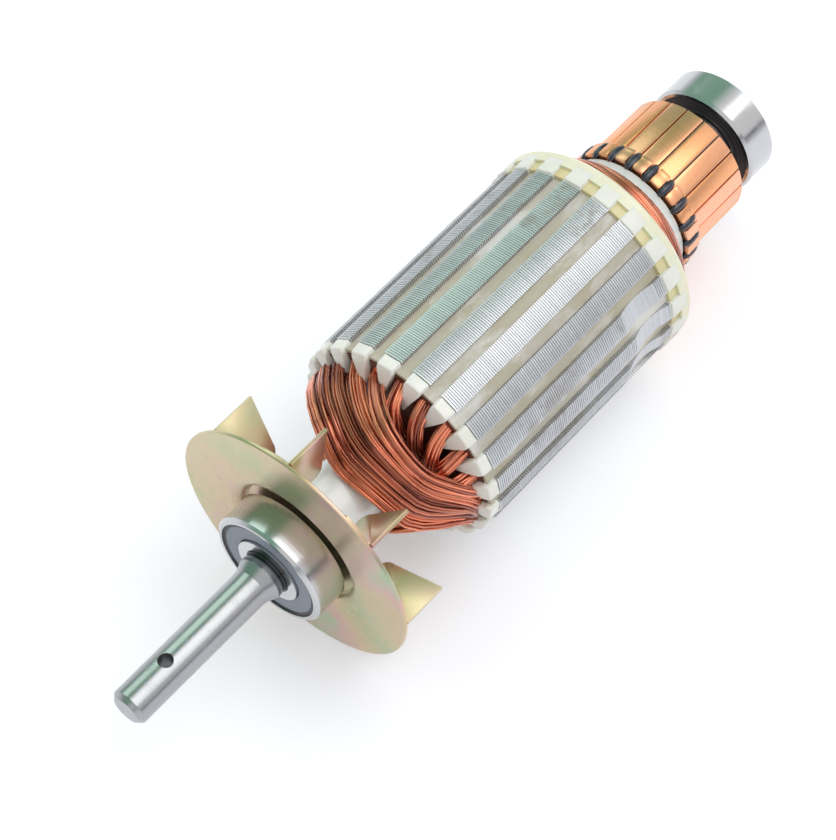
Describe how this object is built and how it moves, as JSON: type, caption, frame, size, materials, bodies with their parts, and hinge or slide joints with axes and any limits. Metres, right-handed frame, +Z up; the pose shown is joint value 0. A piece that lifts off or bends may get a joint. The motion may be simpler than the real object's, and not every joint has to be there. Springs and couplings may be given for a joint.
{
  "type": "motor armature",
  "caption": "Wound electric motor armature on its shaft with slotted laminated core, commutator, cooling fan and sealed ball bearings.",
  "frame": {"origin": "centre of the drive-end ball bearing, on the shaft axis", "axes": "+X along the shaft towards the output stub, +Z up, +Y completes the right-handed frame"},
  "size_m": [0.1833, 0.0564, 0.0564],
  "materials": {
    "shaft_steel": "ground and polished",
    "bearing_steel": "polished",
    "ball_steel": "polished",
    "cage_steel": "pressed",
    "seal_grey": "satin",
    "seal_black": "satin",
    "passivated_steel": "yellow zinc passivate",
    "white_plastic": "gloss",
    "ivory_plastic": "semi-gloss",
    "yellow_plastic": "translucent",
    "lamination_steel": "stacked sheet edges",
    "liner_film": "film",
    "wedge_film": "film",
    "enamelled_copper": "enamelled wire",
    "band_tape": "varnished tape",
    "bar_copper": "turned",
    "dark_moulding": "glossy moulding"
  },
  "bodies": {
    "rotor": {"shaft": "shaft_steel", "bearing_inner_rings": "bearing_steel", "fan_disc": "passivated_steel", "fan_blades": "passivated_steel", "shaft_sleeve": "white_plastic", "lamination_stack": "lamination_steel", "slot_liners": "liner_film", "slot_wedges": "wedge_film", "drive_end_insulator": "ivory_plastic", "comm_end_insulator": "white_plastic", "end_ring": "yellow_plastic", "coil_sides": "enamelled_copper", "drive_end_winding": "enamelled_copper", "comm_end_winding": "enamelled_copper", "lead_wires": "enamelled_copper", "lead_band": "band_tape", "commutator_bars": "bar_copper", "commutator_hub": "dark_moulding"},
    "drive_outer": {"drive_outer_ring": "bearing_steel", "drive_seals": "seal_grey"},
    "drive_ball_set": {"drive_balls": "ball_steel", "drive_cage": "cage_steel"},
    "comm_outer": {"comm_outer_ring": "bearing_steel", "comm_seals": "seal_black"},
    "comm_ball_set": {"comm_balls": "ball_steel", "comm_cage": "cage_steel"}
  },
  "joints": [
    {"name": "drive_outer_spin", "type": "hinge", "parent": "rotor", "child": "drive_outer", "pos_m": [0, 0, 0], "axis": [1, 0, 0], "continuous": true},
    {"name": "drive_balls_spin", "type": "hinge", "parent": "rotor", "child": "drive_ball_set", "pos_m": [0, 0, 0], "axis": [1, 0, 0], "continuous": true},
    {"name": "comm_outer_spin", "type": "hinge", "parent": "rotor", "child": "comm_outer", "pos_m": [-0.1362, 0, 0], "axis": [1, 0, 0], "continuous": true},
    {"name": "comm_balls_spin", "type": "hinge", "parent": "rotor", "child": "comm_ball_set", "pos_m": [-0.1362, 0, 0], "axis": [1, 0, 0], "continuous": true}
  ],
  "couplings": [
    {"joint": "drive_balls_spin", "follows": "drive_outer_spin", "ratio": 0.6322},
    {"joint": "comm_balls_spin", "follows": "comm_outer_spin", "ratio": 0.6322}
  ]
}
